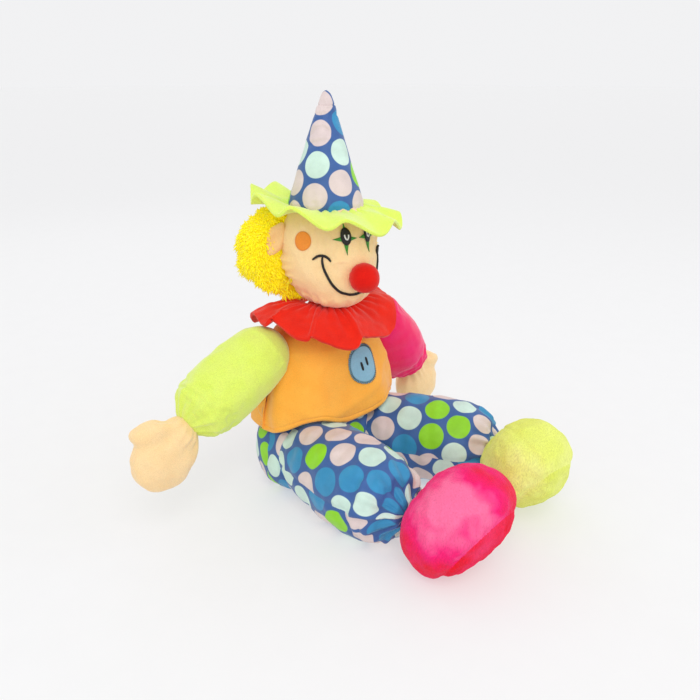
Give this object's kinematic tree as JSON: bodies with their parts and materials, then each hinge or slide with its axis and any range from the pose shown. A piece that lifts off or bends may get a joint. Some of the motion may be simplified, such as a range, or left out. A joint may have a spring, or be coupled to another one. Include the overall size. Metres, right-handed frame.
{
  "type": "hand puppet",
  "caption": "Seated soft hand puppet with a hollow shirt for the hand, finger pocket in the head, stuffed arms and legs on sewn joints, ruffle collar and pointed hat with a soft brim.",
  "frame": {"origin": "middle of the flat underside of the seat", "axes": "-Z points down out of the flat underside of the seat, the puppet faces -Y and +X is its own left"},
  "size_m": [0.444, 0.3484, 0.4181],
  "materials": {
    "dot_print": "smooth printed polyester with large dots",
    "orange_jersey": "thin brushed jersey",
    "lime_fleece": "soft fleece",
    "lime_plush": "short pile plush",
    "pink_plush": "short pile plush",
    "pink_jersey": "brushed jersey",
    "red_fleece": "soft fleece",
    "peach_velour": "short velour",
    "yellow_pile": "long fuzzy pile",
    "black_thread": "embroidery thread",
    "green_thread": "embroidery thread",
    "grey_blue_felt": "felt patch",
    "orange_felt": "felt patch",
    "filling": "loose polyester filling",
    "lining": "thin woven lining",
    "elastic": "narrow sewn elastic"
  },
  "bodies": {
    "seat": {"trousers_seat": "dot_print", "seat_stuffing": "filling", "waist_elastic": "elastic"},
    "torso": {"shirt_front": "orange_jersey", "shirt_back": "orange_jersey", "hand_slit_hem": "orange_jersey", "glove_lining": "lining", "button_patch": "grey_blue_felt", "patch_stitches": "black_thread", "neck_tube": "orange_jersey", "collar_ruffle": "red_fleece"},
    "neck": {"neck_band": "red_fleece"},
    "head": {"head_cover": "peach_velour", "head_stuffing": "filling", "finger_pocket": "lining", "ear_right": "peach_velour", "ear_left": "peach_velour", "hair_pile": "yellow_pile", "thread_tuft": "yellow_pile", "cheek_right": "orange_felt", "cheek_left": "orange_felt", "eye_star_right": "green_thread", "eye_star_left": "green_thread", "eye_pupil_right": "black_thread", "eye_pupil_left": "black_thread", "nose_ball": "red_fleece", "mouth_stitching": "black_thread", "hat_cone": "dot_print", "hat_stuffing": "filling", "hat_brim": "lime_fleece"},
    "shoulder_right": {"armhole_ring_right": "lime_fleece"},
    "arm_right": {"sleeve_right": "lime_fleece", "arm_stuffing_right": "filling", "cuff_elastic_right": "elastic"},
    "mitten_right": {"hand_right": "peach_velour", "hand_stuffing_right": "filling"},
    "hip_right": {"hip_ring_right": "dot_print"},
    "leg_right": {"trouser_leg_right": "dot_print", "leg_stuffing_right": "filling", "ankle_elastic_right": "elastic"},
    "shoe_right": {"shoe_upper_right": "pink_plush", "shoe_sole_right": "pink_plush", "shoe_stuffing_right": "filling"},
    "shoulder_left": {"armhole_ring_left": "pink_jersey"},
    "arm_left": {"sleeve_left": "pink_jersey", "arm_stuffing_left": "filling", "cuff_elastic_left": "elastic"},
    "mitten_left": {"hand_left": "peach_velour", "hand_stuffing_left": "filling"},
    "hip_left": {"hip_ring_left": "dot_print"},
    "leg_left": {"trouser_leg_left": "dot_print", "leg_stuffing_left": "filling", "ankle_elastic_left": "elastic"},
    "shoe_left": {"shoe_upper_left": "lime_plush", "shoe_sole_left": "lime_plush", "shoe_stuffing_left": "filling"}
  },
  "joints": [
    {"name": "waist_bend", "type": "hinge", "parent": "seat", "child": "torso", "pos_m": [0, -0.015, 0.08], "axis": [1, 0, 0], "range_deg": [-10, 8]},
    {"name": "head_turn", "type": "hinge", "parent": "torso", "child": "neck", "pos_m": [0, 0, 0.185], "axis": [0, 0, 1], "range_deg": [-35, 35]},
    {"name": "head_nod", "type": "hinge", "parent": "neck", "child": "head", "pos_m": [0, 0, 0.185], "axis": [0.9945, -0.1045, 0], "range_deg": [-14, 9]},
    {"name": "shoulder_swing_right", "type": "hinge", "parent": "torso", "child": "shoulder_right", "pos_m": [-0.08769, 0.005, 0.157], "axis": [0, 0, 1], "range_deg": [-15, 40]},
    {"name": "shoulder_raise_right", "type": "hinge", "parent": "shoulder_right", "child": "arm_right", "pos_m": [-0.08769, 0.005, 0.157], "axis": [0, 1, 0], "range_deg": [-18, 40]},
    {"name": "wrist_bend_right", "type": "hinge", "parent": "arm_right", "child": "mitten_right", "pos_m": [-0.17714, 0.005, 0.11228], "axis": [0, 1, 0], "range_deg": [-6, 25]},
    {"name": "hip_spread_right", "type": "hinge", "parent": "seat", "child": "hip_right", "pos_m": [-0.046, -0.03232, 0.0445], "axis": [0, 0, 1], "range_deg": [-20, 5]},
    {"name": "hip_lift_right", "type": "hinge", "parent": "hip_right", "child": "leg_right", "pos_m": [-0.046, -0.03232, 0.0445], "axis": [-1, 0, 0], "range_deg": [-20, 16]},
    {"name": "ankle_flex_right", "type": "hinge", "parent": "leg_right", "child": "shoe_right", "pos_m": [-0.06217, -0.17844, 0.0445], "axis": [1, 0, 0], "range_deg": [-15, 15]},
    {"name": "shoulder_swing_left", "type": "hinge", "parent": "torso", "child": "shoulder_left", "pos_m": [0.08769, 0.005, 0.157], "axis": [0, 0, 1], "range_deg": [-22, 10]},
    {"name": "shoulder_raise_left", "type": "hinge", "parent": "shoulder_left", "child": "arm_left", "pos_m": [0.08769, 0.005, 0.157], "axis": [0, 1, 0], "range_deg": [-60, 0]},
    {"name": "wrist_bend_left", "type": "hinge", "parent": "arm_left", "child": "mitten_left", "pos_m": [0.15342, 0.0121, 0.08197], "axis": [0, 1, 0], "range_deg": [-25, 12]},
    {"name": "hip_spread_left", "type": "hinge", "parent": "seat", "child": "hip_left", "pos_m": [0.046, -0.03232, 0.0445], "axis": [0, 0, 1], "range_deg": [-5, 15]},
    {"name": "hip_lift_left", "type": "hinge", "parent": "hip_left", "child": "leg_left", "pos_m": [0.046, -0.03232, 0.0445], "axis": [-1, 0, 0], "range_deg": [-20, 16]},
    {"name": "ankle_flex_left", "type": "hinge", "parent": "leg_left", "child": "shoe_left", "pos_m": [0.10774, -0.16565, 0.0445], "axis": [1, 0, 0], "range_deg": [-15, 15]}
  ]
}
